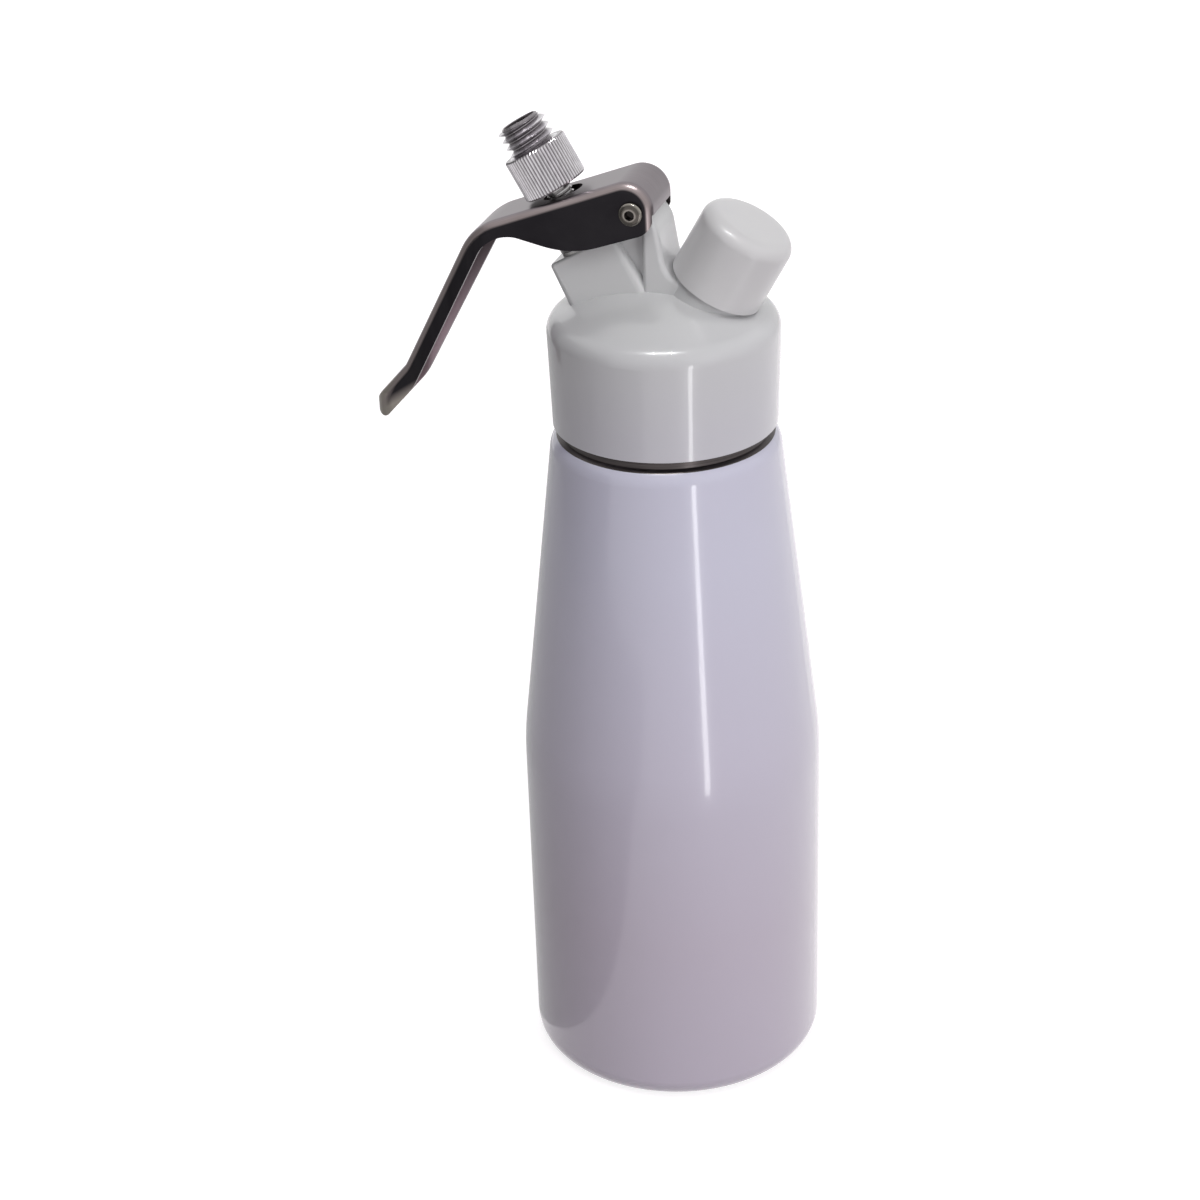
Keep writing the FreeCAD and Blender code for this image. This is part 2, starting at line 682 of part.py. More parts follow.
def lever_bar(label, inset):
    """Bar with the lever's top side and width, rounded along its long edges."""
    body = new_body(label)
    line = lever_lines(inset)
    bar = outline_sketch(body, label + "_side", [
        (*crossing(line["nose"], line["plate"]), s.nose_rounding - inset),
        (*crossing(line["plate"], line["handle"]), s.elbow_rounding - inset),
        (*crossing(line["handle"], line["flare"]), s.flare_rounding + inset),
        (*crossing(line["flare"], line["tip"]), s.tip_rounding - inset),
        (inset - s.tip_reach, lever_floor),
        (s.nose_reach - inset, lever_floor),
    ])
    extrude(body, label + "_bar", bar, 2 * (s.lever_half_width - inset))
    for side, word in SIDES:
        narrow_side(body, "%s_%s" % (label, word), inset, side)
    half = number(s.lever_half_width - inset)
    handle_half = number(s.handle_half_width - inset)

    def long_edge(edge):
        spot = middle(edge)
        start, end = edge.Vertexes[0].Point, edge.Vertexes[-1].Point
        on_side = abs(spot.y) > handle_half - 1e-3 and abs(spot.y) < half + 1e-3
        across = abs(start.y - end.y) > abs(start.x - end.x) + abs(start.z - end.z)
        return on_side and not across and top_side(spot, inset) and top_side(start, inset)

    round_edges(body, label + "_bends", long_edge, s.bend_radius - inset * 0.9)
    for side, word in SIDES:
        round_tip(body, "%s_%s" % (label, word), inset, side)
    return body


def top_side(spot, inset):
    """Whether a point lies on the lever's top side, within the rounding of its corners."""
    reaches = []
    for angle, reach in lever_lines(inset).values():
        turned = math.radians(number(angle))
        reaches.append(number(reach) - spot.x * math.cos(turned) - spot.z * math.sin(turned))
    elbow_sag = number(s.elbow_rounding) * 0.12
    return min(abs(reach) for reach in reaches) < elbow_sag


def narrow_side(body, name, inset, side):
    """Trim one side of the bar in plan from the head's width to the handle's."""
    wide, narrow = s.lever_half_width - inset, s.handle_half_width - inset
    near, beyond = PAST - s.taper_start, -s.tip_reach - PAST
    sketch = outline_sketch(body, name + "_taper", [
        (-s.taper_start, side * wide, s.elbow_rounding),
        (-s.taper_end, side * narrow, s.elbow_rounding),
        (beyond, side * narrow),
        (beyond, side * (wide + PAST)),
        (near, side * (wide + PAST)),
        (near, side * wide),
    ], role="XY_Plane")
    cut_through(body, name + "_trim", sketch, 4 * s.tip_reach)


def round_tip(body, name, inset, side):
    """Round one corner of the handle's tip in plan."""
    tip, narrow = inset - s.tip_reach, s.handle_half_width - inset
    sketch = outline_sketch(body, name + "_corner", [
        (tip, 0),
        (tip, side * narrow, s.handle_half_width * 0.9 - inset),
        (tip + s.handle_half_width, side * narrow),
        (tip + s.handle_half_width, side * (narrow + PAST)),
        (tip - PAST, side * (narrow + PAST)),
        (tip - PAST, 0),
    ], role="XY_Plane")
    cut_through(body, name + "_tip", sketch, 4 * s.tip_reach)


def trim_below(body):
    """Cut the blank along the flanges' free edges and round the ears about the pivot."""
    beyond = s.tip_reach + PAST
    floor = lever_floor - PAST
    tip_end = (s.tip_lean + 180, tip_cut)
    toe = (s.flare_lean + 270, s.toe_depth - flare_reach)
    handle = (s.handle_lean + 270, s.handle_depth - s.handle_offset)
    throat = (s.throat_angle, s.throat_offset)
    belly = (s.belly_angle, s.belly_offset)
    ear = (s.ear_angle, s.ear_drop)
    nose = lever_lines(NONE)["nose"]
    sketch = outline_sketch(body, "lever_free_edge", [
        (*crossing(tip_end, toe), s.tip_corner),
        (*crossing(toe, handle), s.toe_rounding),
        (*crossing(handle, throat), s.throat_rounding),
        (*crossing(throat, belly), s.belly_rounding),
        (*crossing(belly, ear), s.ear_rounding),
        (*crossing(ear, nose), s.nose_reach),
        (s.nose_reach, -s.nose_lip),
        (s.nose_reach + PAST, -s.nose_lip),
        (s.nose_reach + PAST, floor),
        (-beyond, floor),
        crossing(tip_end, (STRAIGHT, beyond)),
    ])
    cut_through(body, "lever_trim", sketch, 4 * s.lever_half_width)


def pierce(body):
    """Oval slot for the stem, square to the plate, and the two holes for the pivot."""
    slot = new_sketch(body, "stem_slot_outline", "XY_Plane")
    slot.AttachmentOffset = FreeCAD.Placement(
        FreeCAD.Vector(), FreeCAD.Rotation(FreeCAD.Vector(0, -1, 0), s.plate_lean.value))
    bind(slot, "AttachmentOffset.Rotation.Angle", s.plate_lean)
    low, high = -s.slot_centre - s.slot_length / 2, s.slot_length / 2 - s.slot_centre
    side, rounding = s.slot_half_width, s.slot_half_width * 0.95
    draw_outline(slot, [(low, -side, rounding), (high, -side, rounding),
                        (high, side, rounding), (low, side, rounding)])
    cut_through(body, "stem_slot", slot, 4 * s.plate_offset)
    holes = new_sketch(body, "pivot_holes_outline")
    draw_circle(holes, 0, 0, s.pivot_pin + s.pivot_clearance)
    cut_through(body, "pivot_holes", holes, 4 * s.lever_half_width)


def lever():
    """Lever pressed from one sheet: head plate with two ears, elbow, channel handle and flared tip."""
    blank = lever_bar("lever_blank", NONE)
    trim_below(blank)
    pierce(blank)
    hollow = lever_bar("lever_hollow", s.sheet)
    mouth = outline_sketch(hollow, "nose_opening_outline", [
        (0, -s.nose_lip),
        (s.nose_reach + PAST, -s.nose_lip),
        (s.nose_reach + PAST, -2 * s.ear_drop),
        (0, -2 * s.ear_drop),
    ])
    extrude(hollow, "nose_opening", mouth, 2 * (s.lever_half_width - s.sheet))
    shell = doc.addObject("Part::Cut", "lever")
    shell.Label = "lever"
    shell.Base = blank
    shell.Tool = hollow
    shell.Placement = FreeCAD.Placement(FreeCAD.Vector(-s.pivot_x.value, 0, pivot_height.value),
                                        FreeCAD.Rotation())
    bind(shell, "Placement.Base.x", -s.pivot_x)
    bind(shell, "Placement.Base.z", pivot_height)


def lay_body(body):
    """Lay a body that is drawn along +Z on the pivot, pointing to the near side."""
    body.Placement = FreeCAD.Placement(FreeCAD.Vector(-s.pivot_x.value, 0, pivot_height.value),
                                       FreeCAD.Rotation(FreeCAD.Vector(1, 0, 0), 90))
    bind(body, "Placement.Base.x", -s.pivot_x)
    bind(body, "Placement.Base.z", pivot_height)


def pivot():
    """Barrel with a head on the far side, the screw that closes it, and a washer inside each ear."""
    outside = s.lever_half_width + s.fit
    domed = s.pin_head_height
    hole = outside - s.screw_depth
    lay_body(turned_part("pivot_barrel", [
        (0, -outside - domed),
        (s.pin_head, -outside - domed, domed * 0.9),
        (s.pin_head, -outside),
        (s.pivot_pin, -outside),
        (s.pivot_pin, s.lever_half_width),
        (s.screw_radius + s.fit, s.lever_half_width),
        (s.screw_radius + s.fit, hole),
        (0, hole),
    ]))
    lay_body(turned_part("pivot_screw", [
        (0, hole + s.fit),
        (s.screw_radius, hole + s.fit),
        (s.screw_radius, outside),
        (s.pin_head, outside),
        (s.pin_head, outside + domed, domed * 0.9),
        (s.drive_radius, outside + domed),
        (s.drive_radius, outside + domed - s.drive_depth),
        (0, outside + domed - s.drive_depth),
    ]))
    post_side = s.post_width / 2
    ear_inside = s.lever_half_width - s.sheet
    bore = s.pivot_pin + s.pivot_clearance
    lay_body(turned_part("lever_washer_near", ring(bore, s.washer_radius, post_side + s.fit,
                                                   ear_inside - s.fit)))
    lay_body(turned_part("lever_washer_far", ring(bore, s.washer_radius, s.fit - ear_inside,
                                                  -post_side - s.fit)))


# ---------------------------------------------------------------- charger port

washer_top = port_floor_top + s.inlet_washer
inlet_top = washer_top + s.inlet_flange_height
cap_bottom = s.port_collar_top + s.cap_gap
seal_bottom = s.port_top + s.cap_seal_play
cap_ceiling = seal_bottom + s.cap_seal
cap_top = cap_ceiling + s.cap_roof


def inlet_parts():
    gasket_floor = inlet_top - s.inlet_gasket
    pin_foot = gasket_floor - s.pin_depth
    nose_top = s.inlet_bottom + s.inlet_nose_height
    turned_part("inlet_valve", [
        (s.inlet_channel, s.inlet_bottom),
        (s.inlet_nose, s.inlet_bottom),
        (s.inlet_nose, nose_top),
        (s.inlet_radius, nose_top),
        (s.inlet_radius, washer_top),
        (s.inlet_flange, washer_top),
        (s.inlet_flange, inlet_top),
        (s.inlet_gasket_radius, inlet_top),
        (s.inlet_gasket_radius, gasket_floor),
        (s.pin_radius, gasket_floor),
        (s.pin_radius, pin_foot),
        (s.inlet_channel, pin_foot),
    ], PORT)
    turned_part("inlet_washer", ring(s.inlet_radius + s.fit, s.inlet_flange, port_floor_top,
                                     washer_top), PORT)
    turned_part("charger_gasket", ring(s.pin_radius + s.fit, s.inlet_gasket_radius - s.fit, gasket_floor,
                                       inlet_top), PORT)
    turned_part("check_sleeve", ring(s.inlet_nose + s.fit, s.inlet_nose + s.sleeve_wall, s.inlet_bottom,
                                     nose_top), PORT)
    turned_part("piercing_pin", [
        (0, pin_foot),
        (s.pin_radius, pin_foot),
        (s.pin_radius, inlet_top + s.pin_rise - s.pin_point),
        (0, inlet_top + s.pin_rise),
    ], PORT)


def port_cap():
    """Plain cap that covers the charger port."""
    turned_part("port_cap", [
        (s.port_thread + s.cap_clearance, cap_bottom),
        (s.cap_radius, cap_bottom),
        (s.cap_radius - s.cap_draft, cap_top, s.cap_rounding),
        (0, cap_top),
        (0, cap_ceiling),
        (s.port_thread + s.cap_clearance, cap_ceiling),
    ], PORT)
    seal_outside = s.port_thread - s.cap_seal_inset
    turned_part("cap_seal", ring(seal_outside - s.cap_seal_width, seal_outside, seal_bottom,
                                 cap_ceiling), PORT)


# ---------------------------------------------------------------- build, check and write

def build():
    bottle()
    head_gasket()
    head_body()
    valve_stem()
    valve_small_parts()
    stem_o_ring()
    valve_spring()
    tip_adapter()
    lever()
    pivot()
    inlet_parts()
    port_cap()
    doc.recompute()


def check_objects():
    for item in doc.Objects:
        state = [word for word in item.State if word in ("Invalid", "Error")]
        assert not state, "%s is %s" % (item.Label, state)


def write_parts(labels):
    os.makedirs("parts", exist_ok=True)
    for label in labels:
        shape = doc.getObjectsByLabel(label)[0].Shape
        assert not shape.isNull() and shape.isValid(), label + " has no valid shape"
        shape.exportStep("parts/%s.step" % label)


PARTS = [
    "bottle", "head_gasket", "head_body", "valve_stem", "seat_gasket", "bush_washer", "guide_bush",
    "thrust_collar", "retaining_clip", "adapter_seal", "stem_o_ring", "valve_spring", "tip_adapter",
    "lever", "pivot_barrel", "pivot_screw", "lever_washer_near", "lever_washer_far", "inlet_valve",
    "inlet_washer", "charger_gasket", "check_sleeve", "piercing_pin", "port_cap", "cap_seal",
]

build()
check_objects()
write_parts(PARTS)
print("wrote %d parts" % len(PARTS))
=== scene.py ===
import math

import bpy
from mathutils import Matrix, Vector


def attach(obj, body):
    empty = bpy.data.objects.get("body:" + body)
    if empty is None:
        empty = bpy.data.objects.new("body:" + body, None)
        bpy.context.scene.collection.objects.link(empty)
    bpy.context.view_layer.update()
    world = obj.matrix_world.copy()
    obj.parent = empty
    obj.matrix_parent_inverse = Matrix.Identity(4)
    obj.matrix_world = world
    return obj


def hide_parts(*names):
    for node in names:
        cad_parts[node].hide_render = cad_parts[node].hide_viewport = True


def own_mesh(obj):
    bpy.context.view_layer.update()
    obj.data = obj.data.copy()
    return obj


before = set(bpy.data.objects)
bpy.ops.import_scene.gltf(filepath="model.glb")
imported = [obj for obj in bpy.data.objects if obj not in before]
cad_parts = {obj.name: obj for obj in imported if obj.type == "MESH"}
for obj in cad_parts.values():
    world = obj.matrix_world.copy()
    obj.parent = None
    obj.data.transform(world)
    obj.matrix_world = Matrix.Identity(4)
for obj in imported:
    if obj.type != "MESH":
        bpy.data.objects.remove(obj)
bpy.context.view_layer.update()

MM = 0.001
WELD_DISTANCE = 0.000002
CAP_FACING = 0.9  # along the axis, the least that an end cap's normal points out
WHITE = (1, 1, 1, 1)

# The dispensing valve leans towards the handle; its stations are millimetres along its own axis.
VALVE_LEAN = math.radians(29.5)
VALVE_FOOT = Vector((0, 0, 201.6)) * MM
VALVE_FRAME = Matrix.Translation(VALVE_FOOT) @ Matrix.Rotation(-VALVE_LEAN, 4, "Y")

# Tip adapter: its knurl, and the thread above it that takes a decorating tip.
KNURL_RADIUS, KNURL_LOW, KNURL_TOP = 8.4, 55.7, 67
CORE_RADIUS, CREST_RADIUS, TIP_TOP = 5, 6.5, 74.6

# Valve spring, and how far the lever presses it down.
SPRING_LOW, SPRING_TOP, SPRING_TRAVEL = 42, 49.8, 3.31

# Lever pivot, and half the width over the lever's ears in millimetres.
PIVOT = Vector((-5, 0, 247.5)) * MM
HALF_WIDTH = 9.8


# ---------------------------------------------------------------- modelling helpers

def leave_edit():
    bpy.ops.object.mode_set(mode="OBJECT")


def clear_selection():
    if bpy.context.object and bpy.context.object.mode != "OBJECT":
        leave_edit()
    bpy.ops.object.select_all(action="DESELECT")


def pick_object(piece):
    clear_selection()
    piece.select_set(True)
    bpy.context.view_layer.objects.active = piece


def pick_parts(piece, kind, test):
    """Select the faces (FACE) or points (VERT) that a test picks, and stay in edit mode."""
    pick_object(piece)
    bpy.ops.object.mode_set(mode="EDIT")
    bpy.ops.mesh.select_mode(type=kind)
    bpy.ops.mesh.select_all(action="DESELECT")
    leave_edit()
    for part in piece.data.polygons if kind == "FACE" else piece.data.vertices:
        part.select = test(part)
    bpy.ops.object.mode_set(mode="EDIT")


def settle(piece, place, smooth=35):
    """Put the piece's place into its mesh, so that the object itself stands at the origin."""
    pick_object(piece)
    piece.matrix_world = place @ piece.matrix_world
    bpy.ops.object.transform_apply(location=True, rotation=True, scale=True)
    bpy.ops.object.mode_set(mode="EDIT")
    bpy.ops.mesh.select_all(action="SELECT")
    bpy.ops.mesh.remove_doubles(threshold=WELD_DISTANCE)
    bpy.ops.mesh.normals_make_consistent(inside=False)
    leave_edit()
    bpy.ops.object.shade_smooth_by_angle(angle=math.radians(smooth))


def new_drum(name, sides, radius, low, high):
    """Start a round piece: a closed drum between two stations, in millimetres along its axis."""
    clear_selection()
    bpy.ops.mesh.primitive_cylinder_add(
        vertices=sides, radius=radius * MM, depth=(high - low) * MM,
        location=(0, 0, (low + high) / 2 * MM))
    piece = bpy.context.object
    piece.name = name
    bpy.ops.object.transform_apply(location=True, rotation=True, scale=True)
    return piece


def draw_end(piece, side, radius, station, steps):
    """Extrude and scale the end cap on one side from ring to ring, each a (radius, station)."""
    pick_parts(piece, "FACE", lambda face: face.normal.z * side > CAP_FACING)
    for next_radius, next_station in steps:
        bpy.ops.mesh.extrude_region_move(
            TRANSFORM_OT_translate={"value": (0, 0, (next_station - station) * MM)})
        share = next_radius / radius
        bpy.ops.transform.resize(value=(share, share, 1))
        radius, station = next_radius, next_station
    leave_edit()


def helix(name, sides, radius, reach, rise, low, turns, pitch, steps=40):
    """Wind a section of half width reach and half height rise round the Z axis."""
    clear_selection()
    bpy.ops.mesh.primitive_circle_add(
        vertices=sides, radius=MM, location=(radius * MM, 0, low * MM),
        rotation=(math.pi / 2, 0, 0))
    piece = bpy.context.object
    piece.name = name
    piece.scale = (reach, rise, 1)
    bpy.ops.object.transform_apply(location=True, rotation=True, scale=True)
    winding = piece.modifiers.new("winding", "SCREW")
    winding.axis = "Z"
    winding.angle = math.tau * turns
    winding.screw_offset = pitch * turns * MM
    winding.steps = winding.render_steps = round(steps * turns)
    bpy.ops.object.modifier_apply(modifier="winding")
    bpy.ops.object.mode_set(mode="EDIT")
    bpy.ops.mesh.select_all(action="DESELECT")
    bpy.ops.mesh.select_mode(type="EDGE")
    bpy.ops.mesh.select_non_manifold()
    bpy.ops.mesh.fill_holes(sides=sides)
    leave_edit()
    return piece


def trim_end(piece, station):
    """Cut off square, and close, what stands past a station."""
    pick_parts(piece, "FACE", lambda face: True)
    bpy.ops.mesh.bisect(plane_co=(0, 0, station * MM), plane_no=(0, 0, 1),
                        use_fill=True, clear_outer=True)
    leave_edit()


def join(piece, *others):
    pick_object(piece)
    for other in others:
        other.select_set(True)
    bpy.ops.object.join()
    return piece


# ---------------------------------------------------------------- finishes

class Finish:
    """A node material on object coordinates, with short calls for the nodes that finishes share."""

    def __init__(self, name):
        self.material = bpy.data.materials.new(name)
        self.material.use_nodes = True
        self.tree = self.material.node_tree
        self.shader = self.tree.nodes["Principled BSDF"]
        self.output = self.tree.nodes["Material Output"]
        self.place = self.tree.nodes.new("ShaderNodeTexCoord").outputs["Object"]

    def add(self, kind, **sockets):
        node = self.tree.nodes.new("ShaderNode" + kind)
        self.fill(node, **sockets)
        return node

    def fill(self, node, **sockets):
        """Link or set a node's sockets by name, with _ for the spaces."""
        for name, value in sockets.items():
            socket = node.inputs[name.replace("_", " ")]
            if isinstance(value, bpy.types.NodeSocket):
                self.link(value, socket)
            else:
                socket.default_value = value

    def link(self, source, target):
        self.tree.links.new(source, target)

    def set(self, **sockets):
        self.fill(self.shader, **sockets)

    def mapped(self, lean=0, scale=(1, 1, 1), centre=(0, 0, 0), turn=None):
        """Object coordinates moved to a centre, turned, by default about Y, and stretched."""
        moved = self.add("Mapping", Location=-Vector(centre), Vector=self.place)
        turned = self.add("Mapping", Rotation=turn or (0, lean, 0), Scale=scale,
                          Vector=moved.outputs["Vector"])
        return turned.outputs["Vector"]

    def parts(self, vector=None):
        """X, Y and Z of a vector, by default of the place on the object."""
        outputs = self.add("SeparateXYZ", Vector=vector or self.place).outputs
        return outputs["X"], outputs["Y"], outputs["Z"]

    def radius(self, vector=None):
        """Distance of a vector, by default of the place on the object, from the Z axis."""
        x, y, _ = self.parts(vector)
        return self.math("SQRT", self.math("ADD", self.math("MULTIPLY", x, x),
                                           self.math("MULTIPLY", y, y)))

    def noise(self, scale, detail=3, vector=None, roughness=0.5):
        return self.add("TexNoise", Scale=scale, Detail=detail, Roughness=roughness,
                        Vector=vector or self.place).outputs["Fac"]

    def clouded(self, marks, share, cloud_scale=120):
        """Fine marks blended with soft clouds, by the share of the marks."""
        cloud = self.noise(cloud_scale)
        return self.math("ADD", self.math("MULTIPLY", marks, share),
                         self.math("MULTIPLY", cloud, 1 - share))

    def ramp(self, factor, stops):
        node = self.add("ValToRGB", Fac=factor)
        elements = node.color_ramp.elements
        while len(elements) < len(stops):
            elements.new(0.5)
        for element, (position, color) in zip(elements, stops):
            element.position = position
            element.color = (*color, 1)
        return node.outputs["Color"]

    def tones(self, factor, dark, light):
        """Two tones over the part of a noise's range that it mostly keeps to."""
        return self.ramp(factor, [(0.3, dark), (0.7, light)])

    def between(self, value, low, high, at_low=0, at_high=1):
        """Map a value between two limits onto another range, clamped."""
        return self.add("MapRange", Value=value, From_Min=low, From_Max=high,
                        To_Min=at_low, To_Max=at_high).outputs["Result"]

    def spread(self, factor, low, high):
        """Map a factor of 0 to 1 onto a narrow range, such as a roughness."""
        return self.between(factor, 0, 1, low, high)

    def mixed(self, factor, first, second):
        """Blend from one colour to another as a factor goes from 0 to 1."""
        node = self.add("MixRGB")
        for socket, source in zip(node.inputs, (factor, first, second)):
            self.link(source, socket)
        return node.outputs["Color"]

    def math(self, operation, *values):
        node = self.add("Math")
        node.operation = operation
        for socket, value in zip(node.inputs, values):
            if isinstance(value, (int, float)):
                socket.default_value = value
            else:
                self.link(value, socket)
        return node.outputs["Value"]

    def both(self, first, second):
        return self.math("MULTIPLY", first, second)

    def either(self, first, second):
        return self.math("MAXIMUM", first, second)

    def bump(self, height, strength, distance=0.0002, **under):
        return self.add("Bump", Height=height, Strength=strength, Distance=distance,
                        **under).outputs["Normal"]


def lacquer(name, low, high, painted_shade_from, painted_shade_to, gloss=0.16):
    """Pale lacquer with a faint orange peel, whose tone changes slowly with the height: a painted
    shade, darker towards the foot and lighter towards the top.
    """
    finish = Finish(name)
    # Painted shade: the tone ramps from dark at the lower height to light at the upper one.
    height = finish.between(finish.parts()[2], painted_shade_from, painted_shade_to, 0.1, 0.9)
    drift = finish.math("MULTIPLY_ADD", finish.noise(9, 2), 0.2, -0.1)
    tone = finish.math("ADD", height, drift)
    peel = finish.bump(finish.noise(420, 2), 0.05, 0.0004)
    grain = finish.bump(finish.noise(2600, 2), 0.02, 0.0001, Normal=peel)
    finish.set(Base_Color=finish.ramp(tone, [(0.1, low), (0.9, high)]),
               Roughness=finish.spread(finish.noise(60, 4), gloss, gloss + 0.08),
               Normal=grain, Coat_Weight=0.6, Coat_Roughness=0.05, IOR=1.5)
    return finish


def bottle_finish():
    """Lacquer outside; bare spun metal inside and on the neck, with a painted shade that makes the
    metal dark in the gap under the head and everywhere below it, the inside included.
    """
    inner_radius, floor_top, cone_foot, cone_slope = 0.0393, 0.0055, 0.097, 0.121
    shoulder_top, collar_radius, collar_foot = 0.18755, 0.0276, 0.1874
    gap_low, gap_top = 0.1905, 0.1925

    # Painted shade in the lacquer: darker and more purple low on the bottle, paler and bluer
    # towards the shoulder.
    finish = lacquer("pale_lacquer_bottle", (0.505, 0.45, 0.545), (0.575, 0.565, 0.69), 0.05, 0.16)
    rings = finish.noise(1, 3, finish.mapped(scale=(40, 40, 2400)))
    spun = finish.tones(rings, (0.52, 0.52, 0.53), (0.72, 0.72, 0.72))
    # Painted shade: dark metal for the gap under the head, also used all down the inside.
    painted_gap_shade = finish.tones(rings, (0.05, 0.044, 0.044), (0.09, 0.08, 0.08))

    z, radius = finish.parts()[2], finish.radius()
    up_cone = finish.either(finish.math("SUBTRACT", z, cone_foot), 0)
    wall = finish.math("SUBTRACT", inner_radius, finish.math("MULTIPLY", up_cone, cone_slope))
    inside = finish.both(finish.math("LESS_THAN", radius, wall),
                         finish.math("GREATER_THAN", z, floor_top))
    collar = finish.both(finish.math("LESS_THAN", radius, collar_radius),
                         finish.math("GREATER_THAN", z, collar_foot))
    neck = finish.either(finish.math("GREATER_THAN", z, shoulder_top), collar)
    # Painted shade below the gap's bottom, fading out by its top.
    painted_shade_below_gap = finish.between(z, gap_low, gap_top, 1, 0)

    metal = finish.add("BsdfPrincipled", Base_Color=finish.mixed(painted_shade_below_gap, spun, painted_gap_shade),
                       Roughness=finish.spread(rings, 0.22, 0.4), Normal=finish.bump(rings, 0.12),
                       Metallic=1)
    mix = finish.add("MixShader", Fac=finish.either(inside, neck))
    finish.link(finish.shader.outputs["BSDF"], mix.inputs[1])
    finish.link(metal.outputs["BSDF"], mix.inputs[2])
    finish.link(mix.outputs["Shader"], finish.output.inputs["Surface"])
    return finish.material


def head_finish():
    # Painted shade in the lacquer: a little darker at the skirt, paler towards the crown.
    return lacquer("pale_lacquer_head", (0.56, 0.55, 0.60), (0.59, 0.59, 0.60),
                   0.195, 0.225, 0.2).material


def cap_finish():
    """Pale moulded plastic, a little greyer than the lacquer."""
    finish = Finish("pale_moulded_plastic")
    tone = finish.tones(finish.noise(40), (0.63, 0.62, 0.635), (0.665, 0.655, 0.665))
    finish.set(Base_Color=tone,
               Roughness=finish.spread(finish.noise(300, 4), 0.3, 0.38),
               Normal=finish.bump(finish.noise(500, 1), 0.03),
               Coat_Weight=0.4, Coat_Roughness=0.06)
    return finish.material


def metal_finish(name, dark, light, rough, scale, lean=0, centre=(0, 0, 0), depth=0.1):
    """Metal with fine marks that run across the stretched direction of its noise."""
    finish = Finish(name)
    marks = finish.noise(1, 4, finish.mapped(lean, scale, centre), 0.6)
    blend = finish.clouded(marks, 0.7)
    finish.set(Base_Color=finish.tones(blend, dark, light), Roughness=finish.spread(blend, *rough),
               Normal=finish.bump(marks, depth), Metallic=1)
    return finish.material


def adapter_finish():
    """Bright turned metal, with a painted shade that darkens the foot of the knurl's grooves and of
    the thread.
    """
    groove_foot, knurl_crest = 0.0081, 0.00838
    thread_foot, thread_crest, thread_outside = 0.005, 0.0063, 0.0068

    finish = Finish("bright_adapter_metal")
    marks = finish.noise(1, 4, finish.mapped(VALVE_LEAN, (1500, 1500, 60), VALVE_FOOT), 0.6)
    blend = finish.clouded(marks, 0.5)
    # Painted shade for the foot of the grooves and thread; the crests keep the bright metal.
    painted_groove_shade = finish.tones(blend, (0.2, 0.185, 0.195), (0.34, 0.32, 0.335))
    bright = finish.tones(blend, (0.55, 0.53, 0.55), (0.86, 0.84, 0.87))

    radius = finish.radius(finish.mapped(VALVE_LEAN, centre=VALVE_FOOT))
    on_thread = finish.both(finish.between(radius, thread_foot, thread_crest),
                            finish.math("LESS_THAN", radius, thread_outside))
    crest = finish.either(finish.between(radius, groove_foot, knurl_crest), on_thread)
    finish.set(Base_Color=finish.mixed(crest, painted_groove_shade, bright),
               Roughness=finish.spread(blend, 0.14, 0.26),
               Normal=finish.bump(marks, 0.08), Metallic=1)
    return finish.material


def pivot_screw_finish():
    """Polished screw head, toned with painted shade in the socket and painted highlights round it:
    a bright ring at the socket's edge and a bright rim.
    """
    head_radius = 0.0031
    finish = Finish("polished_pivot_screw")
    radius = finish.radius(finish.mapped(turn=(math.pi / 2, 0, 0), centre=PIVOT))
    # Painted shade in the socket, a painted highlight ring at its edge, the head's own dark tone,
    # then a painted highlight rim.
    tone = finish.ramp(finish.between(radius, 0, head_radius), [
        (0.38, (0.02, 0.018, 0.017)), (0.46, (0.3, 0.275, 0.25)), (0.6, (0.1, 0.09, 0.08)),
        (0.8, (0.08, 0.072, 0.065)), (0.95, (0.3, 0.28, 0.25))])
    finish.set(Base_Color=tone, Roughness=finish.spread(finish.noise(900), 0.12, 0.24),
               Normal=finish.bump(finish.noise(1400, 2), 0.05, 0.0001), Metallic=1)
    return finish.material


